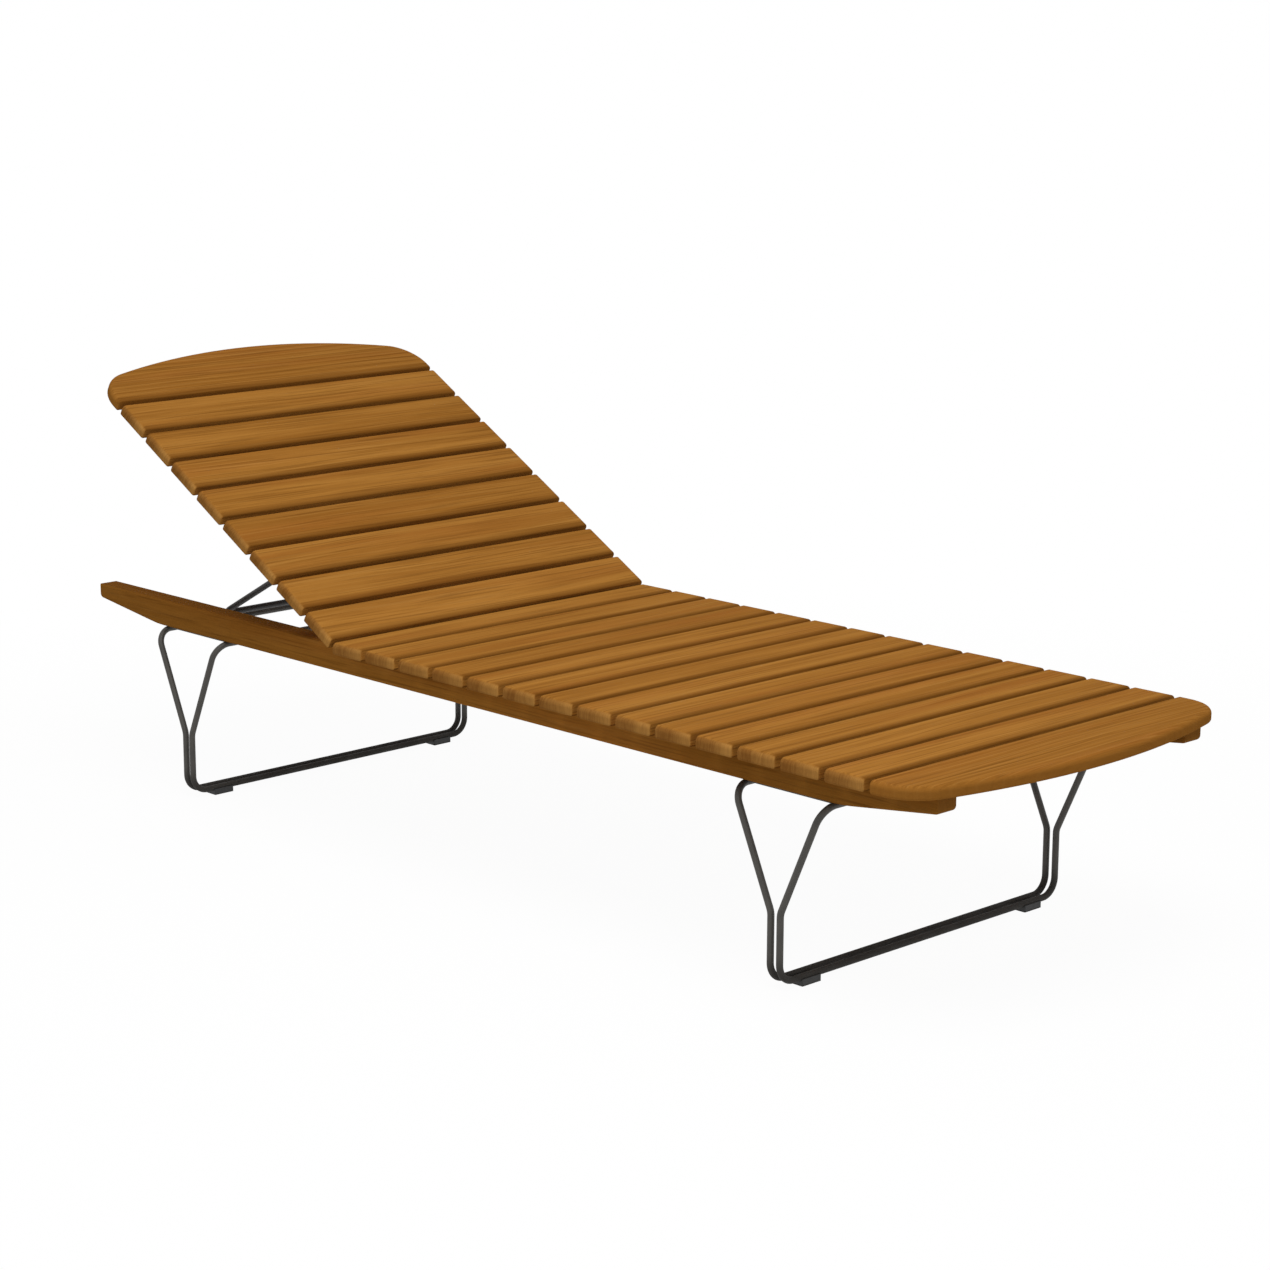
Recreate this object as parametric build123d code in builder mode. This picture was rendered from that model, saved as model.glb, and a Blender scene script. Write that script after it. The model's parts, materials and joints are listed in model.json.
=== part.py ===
from build123d import *
import math
import os

# Slatted sun lounger with a raised backrest. X runs from the head end to the foot end,
# Y runs across, and Z runs up from the floor under the glides. Lengths are in millimetres.

# Slats
slat_width = 70.0
slat_length = 674.0
slat_thickness = 19.0
slat_gap = 9.0
slat_top_radius = 8.0
slat_under_radius = 4.0
slat_edge_radius = 3.5
seat_slat_count = 14
backrest_slat_count = 8
foot_slat_width = 122.0
head_slat_width = 115.5
end_slat_bow_radius = 1100.0
end_slat_corner_radius = 68.0

# Side rails
seat_height = 343.0
rail_length = 1886.0
rail_width = 37.0
rail_height = 44.5
rail_inset = 52.0
rail_foot_setback = 47.5
rail_tip_height = 23.0
rail_taper_length = 168.0
rail_knee_radius = 250.0
rail_tip_radius = 8.0
rail_edge_radius = 3.5

# Rod legs
rod_diameter = 10.0
rod_bend_radius = 27.0
leg_spacing = 1346.0
leg_side_clearance = 14.5
leg_pair_spacing = 17.5
leg_split_height = 110.5
leg_splay_angle = 24.0
rod_bedding_gap = 0.3

# Glides under the floor runs
glide_length = 38.0
glide_inset = 58.0
glide_floor_thickness = 6.2
glide_wall = 2.0
glide_grip = 4.0
glide_corner_radius = 1.5
glide_clearance = 0.1

# Mounting plates between the two top runs of a leg
plate_width = 24.0
plate_thickness = 3.0
plate_weld_gap = 0.3
plate_edge_radius = 0.8
plate_screw_inset = 25.0

# Backrest
backrest_angle = 29.6
backrest_hinge_depth = 9.0
backrest_flat_clearance = 4.5
batten_width = 22.0
batten_height = 20.0
batten_running_gap = 4.0
batten_start_inset = 3.0
batten_end_inset = 36.0
batten_taper_length = 60.0
batten_tip_height = 11.0
batten_edge_radius = 2.0

# Butt hinges between the seat and the backrest
hinge_length = 60.0
hinge_offset = 150.0
hinge_pin_diameter = 3.0
hinge_barrel_diameter = 6.0
hinge_leaf_thickness = 1.5
hinge_leaf_reach = 26.0
hinge_middle_knuckle = 29.0
hinge_knuckle_clearance = 0.4
hinge_pin_head_diameter = 5.0
hinge_pin_head_thickness = 1.2
hinge_screw_distance = 15.0
hinge_screw_spacing = 20.0

# Prop under the backrest
prop_pivot_distance = 225.0
prop_length = 269.5
prop_side_gap = 1.0
prop_bend_radius = 20.0
prop_eye_diameter = 20.0
prop_eye_width = 12.0
prop_pin_diameter = 8.0
prop_pin_head_diameter = 14.0
prop_pin_head_thickness = 3.0
prop_pin_head_gap = 0.5
pin_clearance = 0.05
crossbar_drop = 21.0

# Notched racks on the head leg
rack_thickness = 6.0
rack_bend_clearance = 6.0
rack_tip_clearance = 1.5
rack_notch_depth = 5.0
rack_notch_clearance = 0.4
rack_notch_angles = (0.0, 16.0, backrest_angle, 43.0, 55.0)
rack_end_margin = 14.0
rack_saddle_depth = 3.0
rack_saddle_clearance = 0.1
rack_edge_radius = 2.0

# Wood screws
screw_diameter = 5.0
screw_head_diameter = 9.5
screw_head_thickness = 3.0
screw_bite = 12.0
screw_fit = 0.05
screw_head_clearance = 0.75
rail_screw_grip = 20.0
batten_screw_grip = 13.0
small_screw_diameter = 3.5
small_screw_head_diameter = 7.0
small_screw_head_thickness = 2.0
small_screw_bite = 11.0

# Places worked out from the sizes above
slat_pitch = slat_width + slat_gap
foot_edge = (rail_length + rail_foot_setback) / 2
seat_start = foot_edge - foot_slat_width - seat_slat_count * slat_pitch
rail_middle = foot_edge - rail_foot_setback - rail_length / 2
rail_top = seat_height - slat_thickness
rail_bottom = rail_top - rail_height
rail_outer_offset = slat_length / 2 - rail_inset
rail_middle_offset = rail_outer_offset - rail_width / 2
rail_inner_offset = rail_outer_offset - rail_width
leg_side_offset = rail_outer_offset + leg_side_clearance
glide_offset = leg_side_offset - glide_inset
rod_radius = rod_diameter / 2
top_run_height = rail_bottom - rod_bedding_gap - rod_radius
floor_run_height = glide_floor_thickness + rod_radius
splay_rise = top_run_height - leg_split_height
top_run_offset = leg_pair_spacing / 2 + splay_rise * math.tan(math.radians(leg_splay_angle))
head_leg_middle = rail_middle - leg_spacing / 2
foot_leg_middle = rail_middle + leg_spacing / 2
plate_length = 2 * (top_run_offset - rod_radius - plate_weld_gap)
hinge_x = seat_start - slat_gap / 2
hinge_height = seat_height - backrest_hinge_depth
seat_deck_depth = slat_thickness - backrest_hinge_depth
backrest_deck_depth = seat_deck_depth - backrest_flat_clearance
batten_middle_offset = rail_inner_offset - batten_running_gap - batten_width / 2
batten_inner_offset = batten_middle_offset - batten_width / 2
prop_leg_offset = batten_inner_offset - prop_side_gap - prop_eye_width / 2
rack_offset = prop_leg_offset - prop_bend_radius - rack_bend_clearance - rack_thickness / 2
crossbar_height = rail_top - crossbar_drop
rack_top = crossbar_height - rod_radius - rack_tip_clearance
rack_bottom = top_run_height + rod_radius - rack_saddle_depth
sides = {"left": 1, "right": -1}


def tilted_plane(angle):
    """Plane through the hinge axis, parallel to the backrest at an angle above flat."""
    turn = math.radians(angle)
    along = (math.cos(turn), 0, -math.sin(turn))
    upward = (math.sin(turn), 0, math.cos(turn))
    return Plane(origin=(hinge_x, 0, hinge_height), x_dir=along, z_dir=upward)


seat_deck = Plane.XY.offset(rail_top)
hinge_plane = tilted_plane(backrest_angle)
backrest_deck = hinge_plane.offset(-backrest_deck_depth)


def prop_pivot(angle):
    """Axis of the prop's pins, at the middle of the battens, with the backrest at an angle."""
    drop = backrest_deck_depth + batten_height / 2
    return tilted_plane(angle).from_local_coords((-prop_pivot_distance, 0, -drop))


def crossbar_x(angle):
    """Place of the prop's crossbar along the racks, with the backrest at an angle."""
    pivot = prop_pivot(angle)
    return pivot.X - math.sqrt(prop_length**2 - (pivot.Z - crossbar_height) ** 2)


def both_sides(middles, offset):
    """Points at both sides of the bed, at each distance along it."""
    return [(middle, side * offset) for middle in middles for side in sides.values()]


def ease_slat(slat, deck):
    """Roll over the ends of a slat on a deck plane, then ease the rims of its straight long sides."""
    upward = Axis(deck.origin, deck.z_dir)
    fillet(slat.faces().sort_by(upward)[-1].edges().filter_by(Axis.Y, reverse=True), slat_top_radius)
    fillet(slat.faces().sort_by(upward)[0].edges().filter_by(Axis.Y, reverse=True), slat_under_radius)
    fillet(slat.faces().filter_by(Axis(deck.origin, deck.x_dir)).edges(), slat_edge_radius)


def drill_up(plane, points, diameter, depth):
    """Drill blind holes up from a plane into the part being built."""
    with BuildSketch(plane) as holes:
        with Locations(*points):
            Circle(diameter / 2 + screw_fit)
    extrude(holes.sketch, amount=depth, mode=Mode.SUBTRACT)


def regular_slat(deck, middle, support_offset, hinge_hole_points, name):
    """Straight slat across the bed, with pilot holes for the screws that hold it."""
    with BuildPart() as slat:
        with BuildSketch(deck):
            with Locations((middle, 0)):
                Rectangle(slat_width, slat_length)
        extrude(amount=slat_thickness)
        ease_slat(slat, deck)
        drill_up(deck, both_sides([middle], support_offset), screw_diameter, screw_bite)
        if hinge_hole_points:
            drill_up(deck, hinge_hole_points, small_screw_diameter, small_screw_bite)
    slat.part.label = name
    export_step(slat.part, f"parts/{name}.step")


def end_slat(deck, inner_edge, width, outward, support_offset, screw_line, name):
    """Wide end slat with a bowed outer edge and two large rounded corners."""
    outer_edge = inner_edge + outward * width
    bow_middle = outer_edge - outward * end_slat_bow_radius
    half = slat_length / 2
    shoulder = bow_middle + outward * math.sqrt(end_slat_bow_radius**2 - half**2)
    with BuildPart() as slat:
        with BuildSketch(deck) as outline:
            with BuildLine():
                Polyline((shoulder, half), (inner_edge, half), (inner_edge, -half), (shoulder, -half))
                ThreePointArc((shoulder, -half), (outer_edge, 0), (shoulder, half))
            make_face()
            corners = outline.vertices().sort_by(Axis.X, reverse=outward < 0)
            fillet(corners[2:], end_slat_corner_radius)
        extrude(amount=slat_thickness)
        ease_slat(slat, deck)
        drill_up(deck, both_sides([screw_line], support_offset), screw_diameter, screw_bite)
    slat.part.label = name
    export_step(slat.part, f"parts/{name}.step")


def screw_set(plane, points, diameter, head_diameter, head_thickness, grip, bite, name):
    """Set of screws whose heads sit a grip below a plane, with shanks that reach above it."""
    with BuildPart() as screws:
        with BuildSketch(plane.offset(-grip)):
            with Locations(*points):
                Circle(head_diameter / 2)
        extrude(amount=-head_thickness)
        with BuildSketch(plane.offset(-grip)):
            with Locations(*points):
                Circle(diameter / 2)
        extrude(amount=grip + bite)
    screws.part.label = name
    export_step(screws.part, f"parts/{name}.step")


os.makedirs("parts", exist_ok=True)

# Screw lines of the seat and of the backrest, each along its own deck
seat_middles = [seat_start + slat_width / 2 + index * slat_pitch for index in range(seat_slat_count)]
foot_slat_edge = foot_edge - foot_slat_width
seat_screw_lines = seat_middles + [foot_slat_edge + slat_width / 2]
first_back_middle = -slat_gap / 2 - slat_width / 2
back_middles = [first_back_middle - index * slat_pitch for index in range(backrest_slat_count)]
head_slat_edge = -slat_gap / 2 - backrest_slat_count * slat_pitch
back_screw_lines = back_middles + [head_slat_edge - slat_width / 2]

# Hinge screws, as points on the two decks
hinge_rows = [
    side * hinge_offset + step * hinge_screw_spacing for side in sides.values() for step in (-1, 0, 1)
]
seat_hinge_points = [(hinge_x + hinge_screw_distance, row) for row in hinge_rows]
back_hinge_points = [(-hinge_screw_distance, row) for row in hinge_rows]

# Seat slats, numbered from the hinge to the foot end
for index, middle in enumerate(seat_middles):
    hinge_points = seat_hinge_points if index == 0 else []
    regular_slat(seat_deck, middle, rail_middle_offset, hinge_points, f"seat_slat_{index + 1:02d}")
foot_screw_line = seat_screw_lines[-1]
end_slat(seat_deck, foot_slat_edge, foot_slat_width, 1, rail_middle_offset, foot_screw_line, "foot_slat")

# Backrest slats, numbered from the hinge to the head end
for index, middle in enumerate(back_middles):
    hinge_points = back_hinge_points if index == 0 else []
    regular_slat(backrest_deck, middle, batten_middle_offset, hinge_points, f"backrest_slat_{index + 1:02d}")
head_screw_line = back_screw_lines[-1]
end_slat(
    backrest_deck, head_slat_edge, head_slat_width, -1, batten_middle_offset, head_screw_line, "head_slat"
)

# Side rails, tapered from below at both tips
plate_screw_steps = (-plate_length / 2 + plate_screw_inset, plate_length / 2 - plate_screw_inset)
plate_screw_lines = [leg + step for leg in (head_leg_middle, foot_leg_middle) for step in plate_screw_steps]
for side_name, side in sides.items():
    rail_line = side * rail_middle_offset
    half = rail_length / 2
    with BuildPart() as rail:
        with BuildSketch(Plane.XZ.offset(-rail_line)) as side_view:
            with BuildLine():
                Polyline(
                    (rail_middle - half, rail_top),
                    (rail_middle + half, rail_top),
                    (rail_middle + half, rail_top - rail_tip_height),
                    (rail_middle + half - rail_taper_length, rail_bottom),
                    (rail_middle - half + rail_taper_length, rail_bottom),
                    (rail_middle - half, rail_top - rail_tip_height),
                    close=True,
                )
            make_face()
            fillet(side_view.vertices().group_by(Axis.Y)[0], rail_knee_radius)
            inside = side_view.vertices().filter_by_position(Axis.Y, rail_bottom, rail_top, (False, False))
            fillet([inside.sort_by(Axis.X)[0], inside.sort_by(Axis.X)[-1]], rail_tip_radius)
        extrude(amount=rail_width / 2, both=True)
        fillet(rail.faces().filter_by(Axis.Y).edges(), rail_edge_radius)
        with BuildSketch(seat_deck):
            with Locations(*[(line, rail_line) for line in seat_screw_lines]):
                Circle(screw_diameter / 2 + screw_fit)
        extrude(amount=-rail_height, mode=Mode.SUBTRACT)
        with BuildSketch(seat_deck.offset(-rail_screw_grip)):
            with Locations(*[(line, rail_line) for line in seat_screw_lines]):
                Circle(screw_head_diameter / 2 + screw_head_clearance)
        extrude(amount=-rail_height, mode=Mode.SUBTRACT)
        drill_up(
            Plane.XY.offset(rail_bottom),
            [(line, rail_line) for line in plate_screw_lines],
            small_screw_diameter,
            small_screw_bite,
        )
    rail.part.label = f"rail_{side_name}"
    export_step(rail.part, f"parts/rail_{side_name}.step")

# Bent rod loops: a top run under the rails, splayed sides, and a floor run beside its twin
loops = {
    "head_leg_loop_outer": (head_leg_middle, -1),
    "head_leg_loop_inner": (head_leg_middle, 1),
    "foot_leg_loop_inner": (foot_leg_middle, -1),
    "foot_leg_loop_outer": (foot_leg_middle, 1),
}
for name, (leg_middle, lean) in loops.items():
    top_x = leg_middle + lean * top_run_offset
    floor_x = leg_middle + lean * leg_pair_spacing / 2
    with BuildPart() as loop:
        with BuildLine() as route:
            FilletPolyline(
                (top_x, 0, top_run_height),
                (top_x, leg_side_offset, top_run_height),
                (floor_x, leg_side_offset, leg_split_height),
                (floor_x, leg_side_offset, floor_run_height),
                (floor_x, 0, floor_run_height),
                radius=rod_bend_radius,
            )
        with BuildSketch(Plane(origin=route.line @ 0, z_dir=route.line % 0)):
            Circle(rod_radius)
        sweep(path=route.line)
        mirror(about=Plane.XZ)
    loop.part.label = name
    export_step(loop.part, f"parts/{name}.step")

# Glides, each gripping the two floor runs of a leg from below
glide_width = leg_pair_spacing + rod_diameter + 2 * glide_wall
glide_height = glide_floor_thickness + glide_grip
for leg_name, leg_middle in {"head": head_leg_middle, "foot": foot_leg_middle}.items():
    for side_name, side in sides.items():
        with BuildPart() as glide:
            with BuildSketch(Plane.XY):
                with Locations((leg_middle, side * glide_offset)):
                    RectangleRounded(glide_width, glide_length, glide_corner_radius)
            extrude(amount=glide_height)
            with BuildSketch(Plane.XZ.offset(-side * glide_offset)):
                for lean in (-1, 1):
                    with Locations((leg_middle + lean * leg_pair_spacing / 2, floor_run_height)):
                        Circle(rod_radius + glide_clearance)
            extrude(amount=glide_length, both=True, mode=Mode.SUBTRACT)
        glide.part.label = f"glide_{leg_name}_{side_name}"
        export_step(glide.part, f"parts/glide_{leg_name}_{side_name}.step")

# Mounting plates under the rails, welded between the top runs
for leg_name, leg_middle in {"head": head_leg_middle, "foot": foot_leg_middle}.items():
    for side_name, side in sides.items():
        rail_line = side * rail_middle_offset
        with BuildPart() as plate:
            with BuildSketch(Plane.XY.offset(rail_bottom)):
                with Locations((leg_middle, rail_line)):
                    Rectangle(plate_length, plate_width)
            extrude(amount=-plate_thickness)
            fillet(plate.faces().sort_by(Axis.Z)[0].edges(), plate_edge_radius)
            with Locations(Plane.XY.offset(rail_bottom)):
                with Locations(*[(leg_middle + step, rail_line) for step in plate_screw_steps]):
                    Hole(small_screw_diameter / 2 + screw_fit, plate_thickness)
        plate.part.label = f"leg_plate_{leg_name}_{side_name}"
        export_step(plate.part, f"parts/leg_plate_{leg_name}_{side_name}.step")

# Battens under the backrest slats, tapered from below at the head end
batten_start = -slat_gap / 2 - batten_start_inset
batten_end = head_slat_edge - head_slat_width + batten_end_inset
pivot = prop_pivot(backrest_angle)
for side_name, side in sides.items():
    batten_line = side * batten_middle_offset
    side_plane = Plane(origin=backrest_deck.origin, x_dir=backrest_deck.x_dir, z_dir=(0, -1, 0))
    with BuildPart() as batten:
        with BuildSketch(side_plane.offset(-batten_line)):
            with BuildLine():
                Polyline(
                    (batten_start, 0),
                    (batten_end, 0),
                    (batten_end, -batten_tip_height),
                    (batten_end + batten_taper_length, -batten_height),
                    (batten_start, -batten_height),
                    close=True,
                )
            make_face()
        extrude(amount=batten_width / 2, both=True)
        fillet(batten.faces().filter_by(Axis.Y).edges(), batten_edge_radius)
        with BuildSketch(backrest_deck):
            with Locations(*[(line, batten_line) for line in back_screw_lines]):
                Circle(screw_diameter / 2 + screw_fit)
        extrude(amount=-batten_height, mode=Mode.SUBTRACT)
        with BuildSketch(backrest_deck.offset(-batten_screw_grip)):
            with Locations(*[(line, batten_line) for line in back_screw_lines]):
                Circle(screw_head_diameter / 2 + screw_head_clearance)
        extrude(amount=-batten_height, mode=Mode.SUBTRACT)
        with BuildSketch(Plane.XZ.offset(-batten_line)):
            with Locations((pivot.X, pivot.Z)):
                Circle(prop_pin_diameter / 2 + pin_clearance)
        extrude(amount=batten_width, both=True, mode=Mode.SUBTRACT)
    batten.part.label = f"batten_{side_name}"
    export_step(batten.part, f"parts/batten_{side_name}.step")


def hinge_leaf(frame, deck_depth, outward, knuckles, row, name):
    """Hinge leaf: a flange under a slat, webs up to its knuckles, and the knuckles round the pin."""
    barrel = hinge_barrel_diameter / 2
    under = -deck_depth - hinge_leaf_thickness
    across = Plane(origin=frame.origin, x_dir=frame.x_dir, z_dir=(0, -1, 0))
    web_middle = outward * (barrel - hinge_leaf_thickness / 2)
    flange_middle = outward * (barrel - hinge_leaf_thickness + hinge_leaf_reach) / 2
    flange_length = hinge_leaf_reach - barrel + hinge_leaf_thickness
    with BuildPart() as leaf:
        with BuildSketch(frame.offset(under)):
            with Locations((flange_middle, row)):
                Rectangle(flange_length, hinge_length)
        extrude(amount=hinge_leaf_thickness)
        for start, end in knuckles:
            with BuildSketch(across.offset(-row - start)):
                with Locations((web_middle, under / 2)):
                    Rectangle(hinge_leaf_thickness, -under)
                Circle(barrel)
                Circle(hinge_pin_diameter / 2 + pin_clearance, mode=Mode.SUBTRACT)
            extrude(amount=start - end)
        drill_up(
            frame.offset(under),
            [(outward * hinge_screw_distance, row + step * hinge_screw_spacing) for step in (-1, 0, 1)],
            small_screw_diameter,
            hinge_leaf_thickness,
        )
    leaf.part.label = name
    export_step(leaf.part, f"parts/{name}.step")


# Butt hinges: two outer knuckles on the seat leaf, one between them on the backrest leaf
inner_half = hinge_middle_knuckle / 2
outer_half = hinge_length / 2
clear_half = inner_half + hinge_knuckle_clearance
seat_knuckles = [(-outer_half, -clear_half), (clear_half, outer_half)]
back_knuckles = [(-inner_half, inner_half)]
flat_plane = tilted_plane(0)
for side_name, side in sides.items():
    row = side * hinge_offset
    hinge_leaf(flat_plane, seat_deck_depth, 1, seat_knuckles, row, f"hinge_seat_leaf_{side_name}")
    hinge_leaf(hinge_plane, backrest_deck_depth, -1, back_knuckles, row, f"hinge_backrest_leaf_{side_name}")
    with BuildPart() as pin:
        with BuildSketch(Plane.XZ.offset(-row)):
            with Locations((hinge_x, hinge_height)):
                Circle(hinge_pin_diameter / 2)
        extrude(amount=outer_half, both=True)
        for end in (-1, 1):
            with BuildSketch(Plane.XZ.offset(-row + end * outer_half)):
                with Locations((hinge_x, hinge_height)):
                    Circle(hinge_pin_head_diameter / 2)
            extrude(amount=end * hinge_pin_head_thickness)
    pin.part.label = f"hinge_pin_{side_name}"
    export_step(pin.part, f"parts/hinge_pin_{side_name}.step")

# Prop: a rod bent to a U, with a flattened eye at the top of each leg
prop_slope = math.asin((pivot.Z - crossbar_height) / prop_length)
prop_plane = Plane(
    origin=pivot,
    x_dir=(-math.cos(prop_slope), 0, -math.sin(prop_slope)),
    z_dir=(-math.sin(prop_slope), 0, math.cos(prop_slope)),
)
with BuildPart() as prop:
    with BuildLine(prop_plane) as route:
        FilletPolyline(
            (prop_length, 0),
            (prop_length, prop_leg_offset),
            (0, prop_leg_offset),
            radius=prop_bend_radius,
        )
    with BuildSketch(Plane(origin=route.line @ 0, z_dir=route.line % 0)):
        Circle(rod_radius)
    sweep(path=route.line)
    mirror(about=Plane.XZ)
    for side in sides.values():
        with BuildSketch(Plane.XZ.offset(-side * prop_leg_offset)):
            with Locations((pivot.X, pivot.Z)):
                Circle(prop_eye_diameter / 2)
        extrude(amount=prop_eye_width / 2, both=True)
        with BuildSketch(Plane.XZ.offset(-side * prop_leg_offset)):
            with Locations((pivot.X, pivot.Z)):
                Circle(prop_pin_diameter / 2 + pin_clearance)
        extrude(amount=prop_eye_width, both=True, mode=Mode.SUBTRACT)
prop.part.label = "prop"
export_step(prop.part, "parts/prop.step")

# Pins that carry the prop's eyes on the battens
for side_name, side in sides.items():
    head_face = prop_leg_offset - prop_eye_width / 2 - prop_pin_head_gap
    with BuildPart() as pin:
        with BuildSketch(Plane.XZ.offset(-side * head_face)):
            with Locations((pivot.X, pivot.Z)):
                Circle(prop_pin_diameter / 2)
        extrude(amount=-side * (batten_inner_offset + batten_width - head_face))
        with BuildSketch(Plane.XZ.offset(-side * head_face)):
            with Locations((pivot.X, pivot.Z)):
                Circle(prop_pin_head_diameter / 2)
        extrude(amount=side * prop_pin_head_thickness)
    pin.part.label = f"prop_pin_{side_name}"
    export_step(pin.part, f"parts/prop_pin_{side_name}.step")

# Notched racks across the head leg's two top runs
rack_head_end = head_leg_middle - top_run_offset - rack_end_margin
rack_foot_end = crossbar_x(rack_notch_angles[-1]) + rack_end_margin
notch_radius = rod_radius + rack_notch_clearance
notch_height = rack_top - rack_notch_depth + notch_radius
for side_name, side in sides.items():
    with BuildPart() as rack:
        with BuildSketch(Plane.XZ.offset(-side * rack_offset)) as side_view:
            with Locations(((rack_head_end + rack_foot_end) / 2, (rack_top + rack_bottom) / 2)):
                RectangleRounded(rack_foot_end - rack_head_end, rack_top - rack_bottom, rack_edge_radius)
            with Locations(*[(crossbar_x(angle), notch_height) for angle in rack_notch_angles]):
                Circle(notch_radius, mode=Mode.SUBTRACT)
            with Locations(*[(head_leg_middle + lean * top_run_offset, top_run_height) for lean in (-1, 1)]):
                Circle(rod_radius + rack_saddle_clearance, mode=Mode.SUBTRACT)
        extrude(amount=rack_thickness / 2, both=True)
    rack.part.label = f"rack_{side_name}"
    export_step(rack.part, f"parts/rack_{side_name}.step")

# Screws, in sets of one kind for each place
screw_set(
    seat_deck,
    both_sides(seat_screw_lines, rail_middle_offset),
    screw_diameter,
    screw_head_diameter,
    screw_head_thickness,
    rail_screw_grip,
    screw_bite,
    "seat_slat_screws",
)
screw_set(
    backrest_deck,
    both_sides(back_screw_lines, batten_middle_offset),
    screw_diameter,
    screw_head_diameter,
    screw_head_thickness,
    batten_screw_grip,
    screw_bite,
    "backrest_slat_screws",
)
screw_set(
    Plane.XY.offset(rail_bottom),
    both_sides(plate_screw_lines, rail_middle_offset),
    small_screw_diameter,
    small_screw_head_diameter,
    small_screw_head_thickness,
    plate_thickness,
    small_screw_bite,
    "leg_plate_screws",
)
screw_set(
    seat_deck,
    seat_hinge_points,
    small_screw_diameter,
    small_screw_head_diameter,
    small_screw_head_thickness,
    hinge_leaf_thickness,
    small_screw_bite,
    "hinge_seat_screws",
)
screw_set(
    backrest_deck,
    back_hinge_points,
    small_screw_diameter,
    small_screw_head_diameter,
    small_screw_head_thickness,
    hinge_leaf_thickness,
    small_screw_bite,
    "hinge_backrest_screws",
)
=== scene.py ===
"""Finishes, small metal details and studio for a slatted sun lounger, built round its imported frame."""

import json
import logging
import math
from dataclasses import dataclass
from enum import Enum
from typing import Sequence, Union

import bmesh
import bpy
from mathutils import Matrix, Vector


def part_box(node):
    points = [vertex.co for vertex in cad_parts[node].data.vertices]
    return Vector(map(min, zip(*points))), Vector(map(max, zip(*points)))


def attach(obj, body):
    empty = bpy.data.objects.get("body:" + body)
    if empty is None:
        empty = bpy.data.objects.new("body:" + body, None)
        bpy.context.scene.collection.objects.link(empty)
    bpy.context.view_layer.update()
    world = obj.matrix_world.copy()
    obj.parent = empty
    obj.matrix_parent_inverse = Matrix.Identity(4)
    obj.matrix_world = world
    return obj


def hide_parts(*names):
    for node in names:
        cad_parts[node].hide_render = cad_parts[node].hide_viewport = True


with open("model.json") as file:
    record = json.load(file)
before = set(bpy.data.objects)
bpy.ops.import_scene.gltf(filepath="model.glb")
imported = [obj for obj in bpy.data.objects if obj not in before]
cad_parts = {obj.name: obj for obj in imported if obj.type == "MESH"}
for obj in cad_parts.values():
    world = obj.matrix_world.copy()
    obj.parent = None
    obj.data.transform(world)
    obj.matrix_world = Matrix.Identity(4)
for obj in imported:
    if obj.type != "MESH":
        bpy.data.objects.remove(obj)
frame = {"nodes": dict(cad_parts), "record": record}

LOG = logging.getLogger("sun_lounger")
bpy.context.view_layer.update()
MM = 0.001
SHARP_ANGLE = math.radians(40)
SIDES = ("left", "right")
LEGS = ("head", "foot")

Colour = tuple[float, float, float, float]
Triple = tuple[float, float, float]
Pair = tuple[float, float]
Seam = tuple[Vector, Vector]
Number = Union[float, "Wire"]

WHITE: Colour = (1.0, 1.0, 1.0, 1.0)


class Body(Enum):
    """Rigid bodies that added pieces ride on."""

    BASE = "base"
    BACKREST = "backrest"


class Slot(Enum):
    """Names of two material slots in the record."""

    FRAME_STEEL = "frame_steel"
    FITTING_STEEL = "fitting_steel"


def srgb(red: int, green: int, blue: int) -> Colour:
    """Turn a display colour into a linear one.

    Args:
        red: Red from 0 to 255.
        green: Green from 0 to 255.
        blue: Blue from 0 to 255.

    Returns:
        The linear colour with full alpha.
    """
    shares = [level / 255 for level in (red, green, blue)]
    linear = [s / 12.92 if s <= 0.04045 else ((s + 0.055) / 1.055) ** 2.4 for s in shares]
    return (linear[0], linear[1], linear[2], 1.0)


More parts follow.
